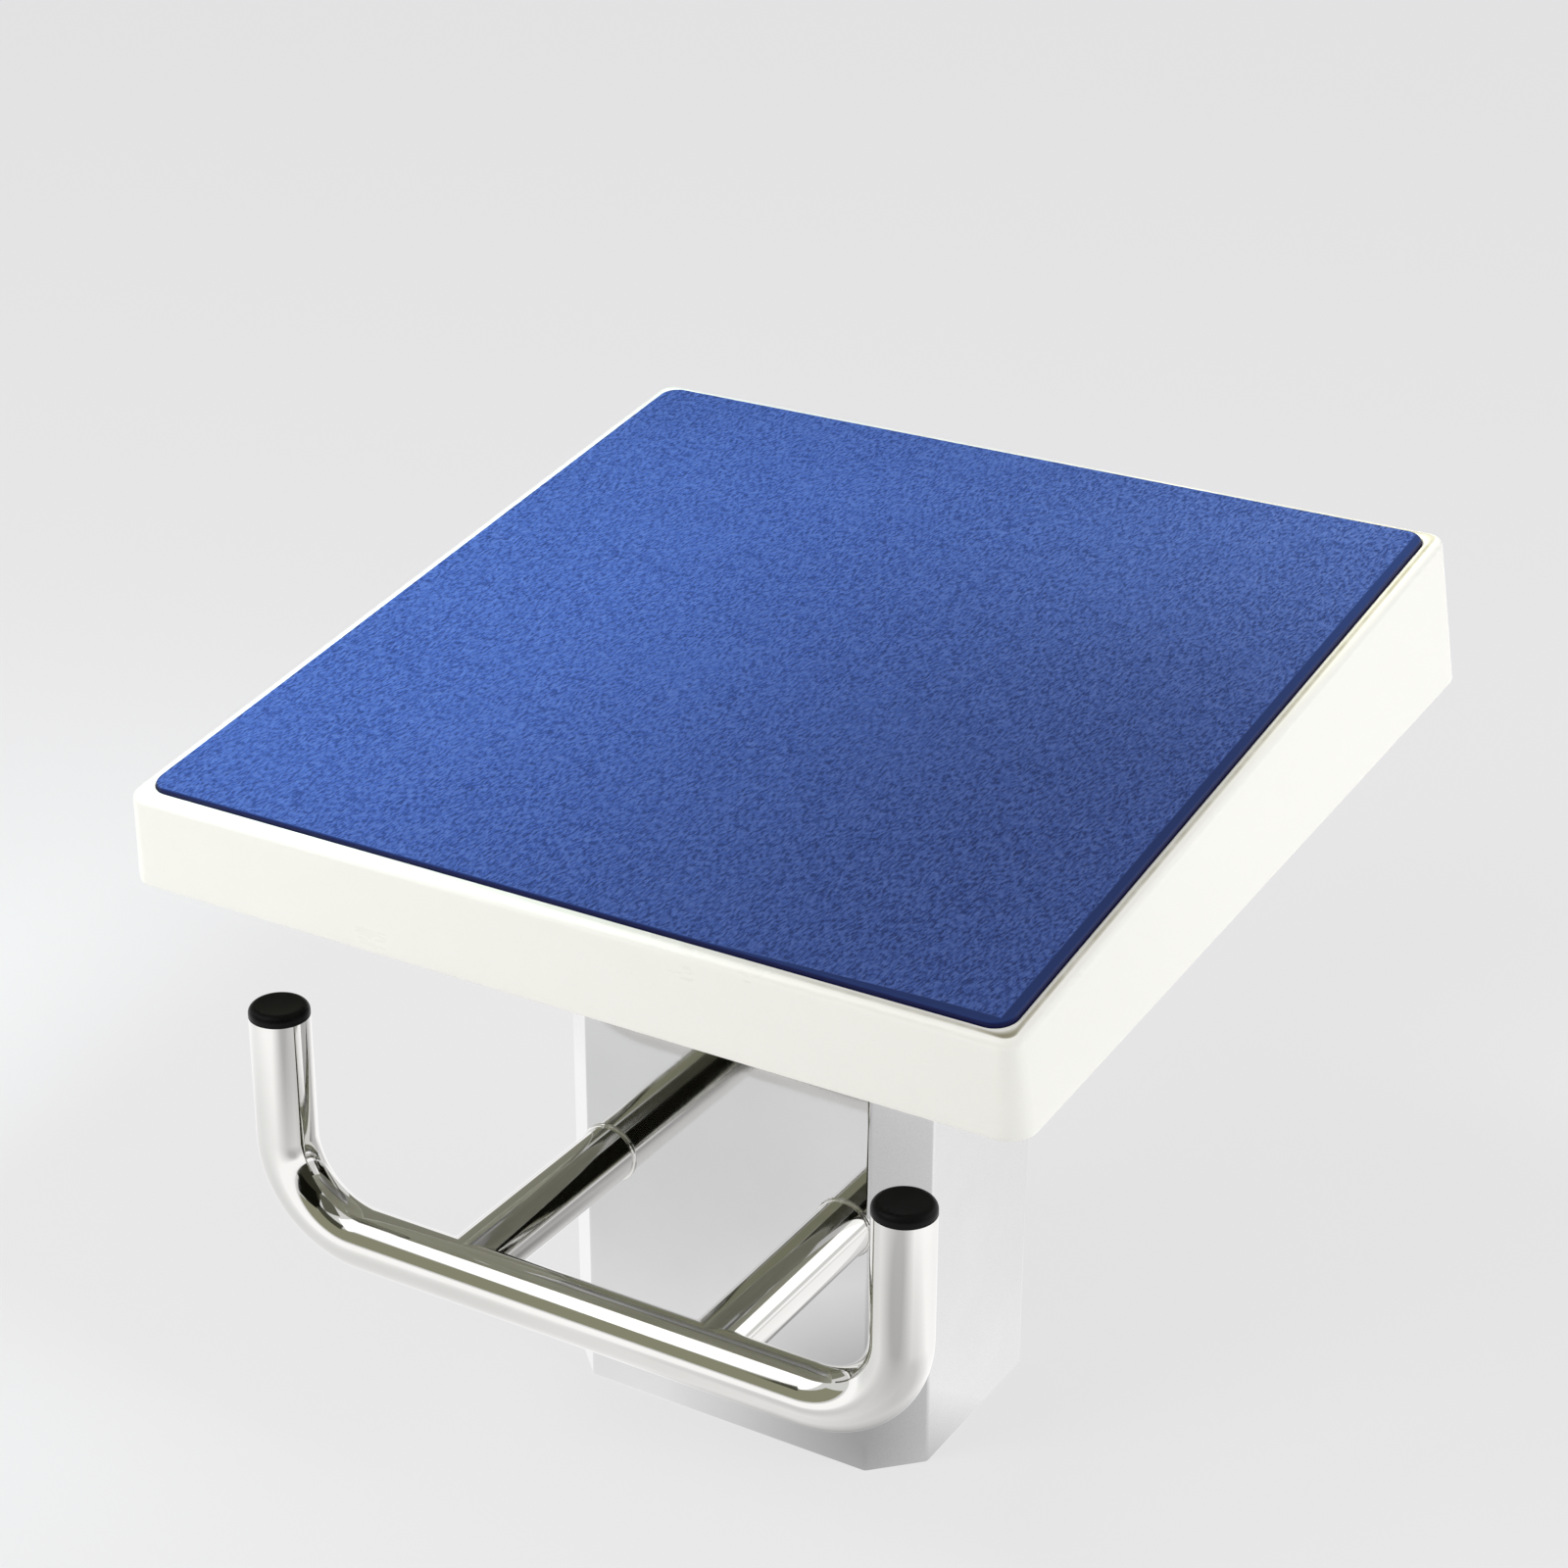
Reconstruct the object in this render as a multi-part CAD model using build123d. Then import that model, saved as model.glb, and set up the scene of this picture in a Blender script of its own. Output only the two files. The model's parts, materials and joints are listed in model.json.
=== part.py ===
from build123d import *
import math
import os

# Swimming starting block: a wedge platform with a non-slip mat, bolted on a
# stainless column that carries a backstroke handle.
# Millimetres. Origin: centre of the column on the deck. +Z up, -Y to the pool.

# Platform, measured on its tilted top face
platform_width = 500.0
platform_length = 510.0
platform_centre_y = 7.5
platform_top_z = 426.5
top_slope = 8.2
under_slope = 4.1
front_thickness = 50.5
draft_angle = 5.5
shell_corner_radius = 9.0
shell_edge_radius = 5.0
shell_wall = 5.0

# Non-slip mat in the recess of the top face
mat_margin = 8.0
mat_corner_radius = 11.0
mat_thickness = 5.0
mat_proud = 2.5
mat_bevel = 1.0
mat_gap = 0.3

# Base panel and ribs inside the platform
panel_thickness = 6.0
panel_rebate = 2.0
panel_gap = 0.3
rib_thickness = 12.0
stringer_spacing = 320.0
web_spacing = 256.0
rib_hole_share = 0.45
web_hole_spacing = 170.0
screw_diameter = 5.0
screw_head_diameter = 10.0
screw_head_height = 3.0
screw_length = 26.0
screw_end_margin = 45.0
screw_slip = 0.05
screws_per_stringer = 3

# Column
column_width = 226.0
column_depth = 160.0
column_chamfer = 25.0
column_wall = 2.5
fold_radius = 4.0

# Head of the column and the bolts of the platform
head_width = 300.0
head_depth = 236.0
head_thickness = 8.0
head_corner_radius = 12.0
head_window_width = 180.0
head_window_depth = 120.0
head_window_radius = 20.0
gasket_thickness = 3.0
mounting_plate_thickness = 8.0
mounting_plate_margin = 4.0
bolt_spacing_x = 264.0
bolt_spacing_y = 190.0
bolt_rows = 2
bolt_diameter = 12.0
bolt_clearance = 0.75
bolt_head_flats = 18.0
bolt_head_height = 7.5
bolt_end = 3.0
thread_clearance = 0.05
nut_flats = 18.0
nut_height = 10.0
washer_diameter = 24.0
washer_thickness = 2.5
gusset_thickness = 6.0
gusset_reach = 34.0
gusset_height = 60.0
gusset_toe = 8.0
gusset_spacing = 84.0

# Foot of the column
base_thickness = 10.0
anchor_spacing_x = 150.0
anchor_spacing_y = 90.0
anchor_hole_diameter = 14.0
base_gusset_height = 60.0
base_gusset_reach = 40.0

# Backstroke handle
tube_diameter = 32.0
tube_wall = 1.5
handle_span = 366.0
handle_height = 150.5
handle_reach = 137.5
handle_bend_radius = 50.0
handle_end_height = 270.0
arm_spacing = 147.0
arm_slip = 0.05
arm_weld = 1.5
backing_height = 80.0
backing_thickness = 5.0

# End caps
cap_height = 6.0
cap_edge_radius = 4.0
cap_wall = 2.5
cap_plug_length = 22.0
cap_plug_slip = 0.05
cap_rib_count = 2
cap_rib_depth = 0.8

# Worked out from the sizes above
draft = math.tan(math.radians(draft_angle))
wedge = math.tan(math.radians(top_slope - under_slope))
tube_radius = tube_diameter / 2
bore_radius = tube_radius - tube_wall
handle_y = -column_depth / 2 - handle_reach
recess_depth = mat_thickness - mat_proud
cavity_depth = recess_depth + shell_wall
wall_inset = shell_wall / math.cos(math.radians(draft_angle))
front_edge_v = -platform_length / 2 - front_thickness * draft
rear_thickness = (front_thickness + (platform_length / 2 - front_edge_v) * wedge) / (1 - draft * wedge)
rear_edge_v = platform_length / 2 + rear_thickness * draft
cut_over = 1.0


def tilted_plane(y, z, slope):
    """A plane that leans up towards the back, with its X along the block's X."""
    lean = math.radians(slope)
    return Plane(origin=(0, y, z), x_dir=(1, 0, 0), z_dir=(0, -math.sin(lean), math.cos(lean)))


def below_top(v, depth):
    """Y and Z of a point by its distance up the slope and its depth under the top face."""
    lean = math.radians(top_slope)
    y = platform_centre_y + v * math.cos(lean) + depth * math.sin(lean)
    return y, platform_top_z + v * math.sin(lean) - depth * math.cos(lean)


def under_height(y):
    """Height of the platform's underside above the deck at a given Y."""
    front_y, front_z = below_top(front_edge_v, front_thickness)
    return front_z + (y - front_y) * math.tan(math.radians(under_slope))


def head_underside(y):
    """Height of the head plate's lower face above the deck at a given Y."""
    return under_height(y) - (gasket_thickness + head_thickness) / math.cos(math.radians(under_slope))


top_plane = tilted_plane(platform_centre_y, platform_top_z, top_slope)
under_plane = tilted_plane(0, under_height(0), under_slope)
head_bottom = -gasket_thickness - head_thickness
column_top_plane = under_plane.offset(head_bottom)


def drafted_block(inset, start_depth):
    """Solid with the platform's drafted sides, from a depth under the top face down past the rim."""
    sections = []
    for depth in (start_depth, rear_thickness + front_thickness):
        spread = 2 * (depth * draft - inset)
        radius = shell_corner_radius - inset + depth * draft
        outline = RectangleRounded(platform_width + spread, platform_length + spread, radius)
        sections.append(top_plane.offset(-depth) * outline)
    return loft(sections, ruled=True)


def slab(solid, low, high):
    """The part of a solid between two heights over the platform's underside."""
    above = split(solid, bisect_by=under_plane.offset(low), keep=Keep.TOP)
    return split(above, bisect_by=under_plane.offset(high), keep=Keep.BOTTOM)


def mat_outline(gap):
    """Outline of the mat, or with a gap, of the recess it lies in."""
    width = platform_width - 2 * mat_margin + 2 * gap
    length = platform_length - 2 * mat_margin + 2 * gap
    return RectangleRounded(width, length, mat_corner_radius + gap)


def platform_shell():
    """Moulded wedge with drafted walls, rounded edges, a mat recess and a rebate for the base panel."""
    block = split(drafted_block(0, 0), bisect_by=under_plane, keep=Keep.TOP)
    rim = block.faces().sort_by(Axis(top_plane.origin, top_plane.z_dir))[-1].edges()
    block = fillet(rim, shell_edge_radius)
    recess = extrude(top_plane.offset(-recess_depth) * mat_outline(mat_gap), 2 * recess_depth)
    rebate = slab(drafted_block(wall_inset - panel_rebate, cavity_depth), -cut_over, panel_thickness)
    return block - recess - drafted_block(wall_inset, cavity_depth) - rebate


def nonslip_mat():
    """Rubber mat that stands a little proud of the shell, with a bevelled edge."""
    mat = extrude(top_plane.offset(-recess_depth) * mat_outline(0), mat_thickness)
    top = mat.faces().sort_by(Axis(top_plane.origin, top_plane.z_dir))[-1]
    return chamfer(top.edges(), mat_bevel)


def rib_space():
    """Room inside the shell over the base panel, which the ribs fill from wall to wall."""
    space = drafted_block(wall_inset, cavity_depth)
    return split(space, bisect_by=under_plane.offset(panel_thickness), keep=Keep.TOP)


def screw_rows():
    """Places of the panel screws along the underside, from front to back."""
    along = math.cos(math.radians(under_slope))
    start = below_top(front_edge_v, front_thickness)[0] / along + screw_end_margin
    end = below_top(rear_edge_v, rear_thickness)[0] / along - screw_end_margin
    step = (end - start) / (screws_per_stringer - 1)
    return [start + step * row for row in range(screws_per_stringer)]


def rib_height(v):
    """Height of the rib space at a place along the underside."""
    y = v * math.cos(math.radians(under_slope))
    top_z = platform_top_z + (y - platform_centre_y) * math.tan(math.radians(top_slope))
    full = (top_z - under_height(y)) * math.cos(math.radians(under_slope))
    return full - cavity_depth - panel_thickness


def screw_places(side):
    """Screw places of one stringer on the underside."""
    return [(side * stringer_spacing / 2, v) for v in screw_rows()]


def stringer(side):
    """Tapered rib along the platform, with lightening holes between the screws."""
    depth = 2 * platform_length
    band = Box(rib_thickness, depth, depth)
    rib = rib_space() & under_plane * Pos(side * stringer_spacing / 2, 0, 0) * band
    rows = screw_rows()
    for front, back in zip(rows[:-1], rows[1:]):
        v = (front + back) / 2
        height = rib_height(v)
        hole = Cylinder(rib_hole_share * height / 2, 2 * rib_thickness)
        place = Pos(side * stringer_spacing / 2, v, panel_thickness + height / 2)
        rib -= under_plane * place * Rot(0, 90, 0) * hole
    for x, v in screw_places(side):
        rib -= extrude(under_plane * Pos(x, v) * Circle(screw_diameter / 2 + screw_slip), screw_length)
    return rib


def web(side):
    """Cross rib between the stringers, in front of or behind the mounting plate."""
    v = side * web_spacing / 2
    width = stringer_spacing - rib_thickness
    band = Box(width, rib_thickness, 2 * platform_length)
    rib = rib_space() & under_plane * Pos(0, v, 0) * band
    height = rib_height(v)
    for x in (-web_hole_spacing / 2, web_hole_spacing / 2):
        hole = Cylinder(rib_hole_share * height / 2, 2 * rib_thickness)
        rib -= under_plane * Pos(x, v, panel_thickness + height / 2) * Rot(90, 0, 0) * hole
    return rib


def bolt_places():
    """Places of the platform's bolts: rows along both sides of the column."""
    step = bolt_spacing_y / (bolt_rows - 1)
    rows = [step * row - bolt_spacing_y / 2 for row in range(bolt_rows)]
    return [(side * bolt_spacing_x / 2, v) for side in (-1, 1) for v in rows]


def bolt_holes(low, high):
    """Clearance holes for all platform bolts between two heights over the underside."""
    holes = Part()
    for x, v in bolt_places():
        disc = Circle(bolt_diameter / 2 + bolt_clearance)
        holes += extrude(under_plane.offset(low) * Pos(x, v) * disc, high - low)
    return holes


def base_panel():
    """Panel that closes the shell from below, counterbored for its screws."""
    panel = slab(drafted_block(wall_inset - panel_rebate + panel_gap, cavity_depth), 0, panel_thickness)
    panel -= bolt_holes(-cut_over, panel_thickness + cut_over)
    for side in (-1, 1):
        for x, v in screw_places(side):
            panel -= under_plane * Pos(x, v, 0) * screw(screw_slip)
    return panel


def screw(slip):
    """Cheese-head screw, its head flush with the underside; a slip makes its hole."""
    shank = extrude(Circle(screw_diameter / 2 + slip), screw_length)
    return shank + extrude(Circle(screw_head_diameter / 2 + slip), screw_head_height)


def panel_screws():
    """All screws that hold the base panel to the stringers."""
    places = screw_places(-1) + screw_places(1)
    return [under_plane * Pos(x, v, 0) * screw(0) for x, v in places]


def mounting_plate():
    """Steel plate between the ribs that takes the pull of the bolts."""
    margin = rib_thickness + 2 * mounting_plate_margin
    outline = Rectangle(stringer_spacing - margin, web_spacing - margin)
    plate = extrude(under_plane.offset(panel_thickness) * outline, mounting_plate_thickness)
    return plate - bolt_holes(0, panel_thickness + mounting_plate_thickness + cut_over)


def hexagon(flats):
    """Regular hexagon by the distance over its flats."""
    return RegularPolygon(flats / math.sqrt(3), 6)


def plate_nuts():
    """Nuts welded on the mounting plate."""
    blank = hexagon(nut_flats) - Circle(bolt_diameter / 2 + thread_clearance)
    seat = under_plane.offset(panel_thickness + mounting_plate_thickness)
    return [extrude(seat * Pos(x, v) * blank, nut_height) for x, v in bolt_places()]


def platform_washers():
    """Washers under the bolt heads."""
    ring = Circle(washer_diameter / 2) - Circle(bolt_diameter / 2 + bolt_clearance)
    seat = under_plane.offset(head_bottom - washer_thickness)
    return [extrude(seat * Pos(x, v) * ring, washer_thickness) for x, v in bolt_places()]


def platform_bolts():
    """Hexagon bolts from the head plate up into the nuts."""
    seat = head_bottom - washer_thickness
    tip = panel_thickness + mounting_plate_thickness + nut_height + bolt_end
    bolts = []
    for x, v in bolt_places():
        head = extrude(under_plane.offset(seat) * Pos(x, v) * hexagon(bolt_head_flats), -bolt_head_height)
        shank = extrude(under_plane.offset(seat) * Pos(x, v) * Circle(bolt_diameter / 2), tip - seat)
        bolts.append(head + shank)
    return bolts


def head_outline():
    """Outline of the head plate with its window over the column's hollow."""
    plate = RectangleRounded(head_width, head_depth, head_corner_radius)
    return plate - RectangleRounded(head_window_width, head_window_depth, head_window_radius)


def head_plate():
    """Flange on the column's sloping top; its window lets the anchors be reached."""
    plate = extrude(column_top_plane * head_outline(), head_thickness)
    return plate - bolt_holes(head_bottom - cut_over, 0)


def head_gasket():
    """Rubber sheet between the head plate and the platform."""
    sheet = extrude(under_plane.offset(-gasket_thickness) * head_outline(), gasket_thickness)
    return sheet - bolt_holes(head_bottom, cut_over)


def head_gussets():
    """Upright stiffeners between the column's sides and the sloping head plate."""
    wall_x = column_width / 2
    gussets = []
    for side in (-1, 1):
        corners = [
            (side * wall_x, gusset_height),
            (side * (wall_x + gusset_reach), gusset_height),
            (side * (wall_x + gusset_reach), -gusset_toe),
            (side * (wall_x + gusset_toe), -gusset_height),
            (side * wall_x, -gusset_height),
        ]
        outline = make_face(Polyline(*corners, close=True))
        plate = extrude(Rot(90, 0, 0) * outline, gusset_thickness / 2, both=True)
        for y in (-gusset_spacing / 2, gusset_spacing / 2):
            raised = Pos(0, y, head_underside(y)) * plate
            gussets.append(split(raised, bisect_by=column_top_plane, keep=Keep.BOTTOM))
    return gussets


def column_outline(inset):
    """Column section with chamfered corners, taken in from the outside by an inset."""
    leg = column_chamfer - inset * (2 - math.sqrt(2))
    outline = Rectangle(column_width - 2 * inset, column_depth - 2 * inset)
    outline = chamfer(outline.vertices(), leg)
    bend = fold_radius - inset
    if bend > 0:
        outline = fillet(outline.vertices(), bend)
    return outline


def arm_holes():
    """Cutters for the two arms through the column's front sheet and its backing."""
    cutters = Part()
    for side in (-1, 1):
        rod = Cylinder(tube_radius + arm_slip, column_depth)
        cutters += Pos(side * arm_spacing / 2, -column_depth / 2, handle_height) * Rot(90, 0, 0) * rod
    return cutters


def column_block():
    """Outer form of the column as a solid, cut to the slope of the head plate."""
    block = extrude(column_outline(0), under_height(column_depth))
    return split(block, bisect_by=column_top_plane, keep=Keep.BOTTOM)


def column_shell():
    """Folded sheet box with chamfered corners, open at its foot and its head."""
    return column_block() - extrude(column_outline(column_wall), under_height(column_depth)) - arm_holes()


def base_plate():
    """Foot plate inside the column with the holes for the deck anchors."""
    plate = extrude(column_outline(column_wall), base_thickness)
    for x in (-anchor_spacing_x / 2, anchor_spacing_x / 2):
        for y in (-anchor_spacing_y / 2, anchor_spacing_y / 2):
            plate -= Pos(x, y, 0) * Cylinder(anchor_hole_diameter / 2, 4 * base_thickness)
    return plate


def base_gussets():
    """Stiffeners between the foot plate and the column's sides."""
    wall_x = column_width / 2 - column_wall
    gussets = []
    for side in (-1, 1):
        corners = [
            (side * wall_x, 0),
            (side * wall_x, base_gusset_height),
            (side * (wall_x - gusset_toe), base_gusset_height),
            (side * (wall_x - base_gusset_reach), gusset_toe),
            (side * (wall_x - base_gusset_reach), 0),
        ]
        outline = make_face(Polyline(*corners, close=True))
        plate = extrude(Rot(90, 0, 0) * outline, gusset_thickness / 2, both=True)
        gussets.append(Pos(0, 0, base_thickness) * plate)
    return gussets


def handle_backing_plate():
    """Bent plate behind the column's front sheet and chamfers that stiffens it for the arms."""
    section = column_outline(column_wall) - column_outline(column_wall + backing_thickness)
    ring = extrude(section, backing_height)
    front = Box(column_width, column_chamfer, backing_height, align=(Align.CENTER, Align.MIN, Align.MIN))
    plate = Pos(0, 0, handle_height - backing_height / 2) * (ring & Pos(0, -column_depth / 2, 0) * front)
    return plate - arm_holes()


def handle_path():
    """Centre line of the bent bar."""
    x = handle_span / 2
    corners = [(-x, handle_end_height), (-x, handle_height), (x, handle_height), (x, handle_end_height)]
    return FilletPolyline(*[(x, handle_y, z) for x, z in corners], radius=handle_bend_radius)


def handle_bar():
    """Round tube bent up at both ends."""
    path = handle_path()
    start = Plane(origin=path @ 0, z_dir=path % 0)
    return sweep(start * (Circle(tube_radius) - Circle(bore_radius)), path)


def weld_ring():
    """Fillet weld round an arm, its back cut to the folds of the column's sheet."""
    bead = Pos(0, 0, arm_weld / 2) * Cone(tube_radius + arm_weld, tube_radius, arm_weld)
    return bead + Pos(0, 0, -column_chamfer / 2) * Cylinder(tube_radius + arm_weld, column_chamfer)


def arm(side):
    """Straight tube from inside the column to the bar, with its weld ring and saddle cut."""
    inner_end = -column_depth / 2 + column_wall + backing_thickness
    length = inner_end - handle_y
    along = Plane(origin=(side * arm_spacing / 2, inner_end, handle_height), z_dir=(0, -1, 0))
    ring = along * Pos(0, 0, column_wall + backing_thickness) * weld_ring()
    tube = extrude(along * Circle(tube_radius), length) + (ring - column_block())
    tube -= extrude(along * Circle(bore_radius), length)
    bar = Pos(0, handle_y, handle_height) * Rot(0, 90, 0) * Cylinder(tube_radius, handle_span)
    return tube - bar


def plug_profile():
    """Half profile of the cap's hollow plug, from the tube's edge round the ribs to the axis."""
    plug_radius = bore_radius - cap_plug_slip
    core_radius = plug_radius - cap_rib_depth
    pitch = cap_plug_length / (cap_rib_count + 1)
    points = [(tube_radius, 0), (core_radius, 0)]
    for rib in range(1, cap_rib_count + 1):
        top = -pitch * rib + pitch / 4
        bottom = -pitch * rib - pitch / 4
        points += [(core_radius, top), (plug_radius, top), (plug_radius, bottom), (core_radius, bottom)]
    points += [(core_radius, -cap_plug_length), (core_radius - cap_wall, -cap_plug_length)]
    points += [(core_radius - cap_wall, 0), (0, 0)]
    return points


def end_cap(side):
    """Cap with a rounded edge and a hollow ribbed plug that grips the tube's bore."""
    lower_edge = cap_height - cap_edge_radius
    shoulder = tube_radius - cap_edge_radius
    outline = [
        Polyline((tube_radius, lower_edge), *plug_profile(), (0, cap_height), (shoulder, cap_height)),
        CenterArc((shoulder, lower_edge), cap_edge_radius, 0, 90),
    ]
    cap = revolve(Plane.XZ * make_face(outline), Axis.Z)
    return Pos(side * handle_span / 2, handle_y, handle_end_height) * cap


nodes = {
    "platform_shell": platform_shell(),
    "nonslip_mat": nonslip_mat(),
    "base_panel": base_panel(),
    "panel_screws": panel_screws(),
    "stringer_left": stringer(-1),
    "stringer_right": stringer(1),
    "front_web": web(-1),
    "rear_web": web(1),
    "mounting_plate": mounting_plate(),
    "plate_nuts": plate_nuts(),
    "platform_bolts": platform_bolts(),
    "platform_washers": platform_washers(),
    "head_gasket": head_gasket(),
    "head_plate": head_plate(),
    "head_gussets": head_gussets(),
    "column_shell": column_shell(),
    "base_plate": base_plate(),
    "base_gussets": base_gussets(),
    "handle_backing_plate": handle_backing_plate(),
    "handle_bar": handle_bar(),
    "arm_left": arm(-1),
    "arm_right": arm(1),
    "end_cap_left": end_cap(-1),
    "end_cap_right": end_cap(1),
}

os.makedirs("parts", exist_ok=True)
for name, shape in nodes.items():
    if isinstance(shape, list):
        shape = Compound(children=shape)
    export_step(shape, f"parts/{name}.step")
    print(name, round(shape.volume / 1000, 1), "cm3")
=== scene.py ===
import json
import math

import bmesh
import bpy
import numpy as np
from mathutils import Matrix, Vector

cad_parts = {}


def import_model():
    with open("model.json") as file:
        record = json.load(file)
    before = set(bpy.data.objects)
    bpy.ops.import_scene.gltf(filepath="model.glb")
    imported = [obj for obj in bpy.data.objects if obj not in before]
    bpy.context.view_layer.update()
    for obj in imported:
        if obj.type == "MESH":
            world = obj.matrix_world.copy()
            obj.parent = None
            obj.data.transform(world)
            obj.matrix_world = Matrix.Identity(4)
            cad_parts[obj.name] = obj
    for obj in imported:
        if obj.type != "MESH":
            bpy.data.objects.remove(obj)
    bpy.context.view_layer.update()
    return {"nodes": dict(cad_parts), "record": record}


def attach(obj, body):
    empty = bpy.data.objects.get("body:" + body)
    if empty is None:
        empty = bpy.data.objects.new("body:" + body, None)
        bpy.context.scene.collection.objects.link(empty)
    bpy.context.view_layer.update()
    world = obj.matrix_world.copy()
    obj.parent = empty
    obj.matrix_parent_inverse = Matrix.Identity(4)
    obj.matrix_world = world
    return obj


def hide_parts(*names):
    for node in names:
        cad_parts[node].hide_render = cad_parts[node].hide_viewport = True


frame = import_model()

# Camera, fitted to the photograph's corners: where it stands, and the direction it looks along
camera_place = (0.8142, -1.3929, 1.1102)
camera_azimuth = 30.66
camera_elevation = 25.01
camera_roll = 0.19
camera_lens = 77.53
camera_sensor = 36.0

# Sizes of the block in metres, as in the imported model
platform_width = 0.500
platform_length = 0.510
platform_centre_y = 0.0075
platform_top_z = 0.4265
top_slope = math.radians(8.2)
under_slope = math.radians(4.1)
front_thickness = 0.0505
draft = math.tan(math.radians(5.5))
shell_corner_radius = 0.009
shell_edge_radius = 0.005
shell_wall = 0.005
panel_rebate = 0.002
panel_thickness = 0.006
mat_margin = 0.008
mat_corner_radius = 0.011
mat_thickness = 0.005
mat_proud = 0.0025
mat_bevel = 0.001
mat_gap = 0.0003
column_width = 0.226
column_depth = 0.160
column_chamfer = 0.025
column_wall = 0.0025
fold_radius = 0.004
gasket_and_head = 0.011
tube_radius = 0.016
tube_wall = 0.0015
handle_span = 0.366
handle_height = 0.1505
handle_reach = 0.1375
handle_bend_radius = 0.050
handle_end_height = 0.270
arm_spacing = 0.147
backing_thickness = 0.005
weld_reach = 0.0015
cap_height = 0.006
cap_edge_radius = 0.004
plug_radius = 0.0137
plug_length = 0.022

# Fineness of the made meshes
corner_steps = 10
edge_steps = 8
tube_sides = 96
bend_steps = 32
mat_cell = 0.0017
sharp_angle = math.radians(35)
mat_sharp_angle = math.radians(75)
same_point = 1e-6

# Mat: direction of its grain, and the smooth border on its right side, which runs out along its front
grain_turn = math.radians(82)
smooth_border = 0.0055
thin_border = 0.0008
border_start_x = 0.09
border_full_x = 0.21

# Light of the floor in reflections: centre and reach of a patch at the left, the level round it and in it.
# Then the soft shades over it: centre, reach along X and Y, and the share of the light that is left
floor_light = ((-0.45, -0.25), (0.50, 0.50), 1.35, 1.08)
floor_shades = (
    ((0.25, -0.58), (0.50, 0.27), 0.45),
    ((0.10, -0.13), (0.17, 0.16), 0.4),
    ((0.32, -0.28), (0.32, 0.28), 0.66),
    ((0.0, -0.36), (0.85, 0.40), 0.78),
    ((0.0, 0.36), (0.90, 0.50), 0.9),
    ((-0.80, 0.45), (0.60, 0.60), 0.6),
    ((0.04, 0.80), (0.42, 0.45), 0.5),
    ((-0.02, 0.40), (0.26, 0.34), 0.6),
    ((0.95, 0.50), (0.50, 0.50), 0.6),
)

# Worked out from the sizes
recess_depth = mat_thickness - mat_proud
cavity_depth = recess_depth + shell_wall
wall_inset = shell_wall / math.cos(math.atan(draft))
handle_y = -column_depth / 2 - handle_reach
front_edge_v = -platform_length / 2 - front_thickness * draft


def tilt(points):
    """Points given across, up the slope and over the platform's top face, put in the shared frame."""
    p = np.asarray(points, float)
    y = platform_centre_y + p[:, 1] * math.cos(top_slope) - p[:, 2] * math.sin(top_slope)
    z = platform_top_z + p[:, 1] * math.sin(top_slope) + p[:, 2] * math.cos(top_slope)
    return np.column_stack([p[:, 0], y, z])


front_bottom = tilt([(0, front_edge_v, -front_thickness)])[0]


def over_under(points, offset=0.0):
    """Signed distance of points over the platform's underside, or over a plane parallel to it."""
    p = np.asarray(points, float)
    along = (p[:, 1] - front_bottom[1]) * math.sin(under_slope)
    return (p[:, 2] - front_bottom[2]) * math.cos(under_slope) - along - offset


def cut_to(upper, lower, offset=0.0):
    """Where the lines from upper to lower points meet the underside, or a plane parallel to it."""
    high = over_under(upper, offset)
    low = over_under(lower, offset)
    share = (high / (high - low))[:, None]
    return upper + (lower - upper) * share


def put(name, points, faces, material, node, angle=sharp_angle, values=None):
    """A piece of the object: its mesh, smooth but for its sharp edges, its finish and the node it replaces.
    Values are named numbers at the mesh's points, for the finish to read."""
    mesh = bpy.data.meshes.new(name)
    mesh.from_pydata([tuple(p) for p in points], [], faces)
    for key, numbers in (values or {}).items():
        mesh.attributes.new(key, "FLOAT", "POINT").data.foreach_set("value", np.asarray(numbers, np.float32))
    work = bmesh.new()
    work.from_mesh(mesh)
    bmesh.ops.remove_doubles(work, verts=work.verts, dist=same_point)
    bmesh.ops.recalc_face_normals(work, faces=work.faces)
    for face in work.faces:
        face.smooth = True
    for edge in work.edges:
        edge.smooth = len(edge.link_faces) == 2 and edge.calc_face_angle() < angle
    work.to_mesh(mesh)
    work.free()
    piece = bpy.data.objects.new(name, mesh)
    bpy.context.scene.collection.objects.link(piece)
    mesh.materials.append(material)
    even = piece.modifiers.new("even_normals", "WEIGHTED_NORMAL")
    even.keep_sharp = True
    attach(piece, "root")
    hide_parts(node)


def loft(rings, closed=False):
    """Points and faces of a skin over rings of equal length, capped at both ends or closed on itself."""
    count = len(rings[0])
    points = np.vstack(rings)
    faces = []
    for i in range(len(rings) if closed else len(rings) - 1):
        a = i * count
        b = (i + 1) % len(rings) * count
        for j in range(count):
            k = (j + 1) % count
            faces.append((a + j, a + k, b + k, b + j))
    if not closed:
        last = (len(rings) - 1) * count
        faces.append(tuple(reversed(range(count))))
        faces.append(tuple(range(last, last + count)))
    return points, faces


def rounded(half_x, half_y, radius):
    """Outline of a rectangle with round corners, counterclockwise from the right side."""
    points = []
    for turn, (sx, sy) in enumerate(((1, 1), (-1, 1), (-1, -1), (1, -1))):
        for step in range(corner_steps + 1):
            a = math.pi / 2 * (turn + step / corner_steps)
            x = sx * (half_x - radius) + radius * math.cos(a)
            points.append((x, sy * (half_y - radius) + radius * math.sin(a)))
    return np.array(points)


def at_height(outline, height):
    """The outline's points at one height."""
    return np.column_stack([outline, np.full(len(outline), height)])


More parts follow.
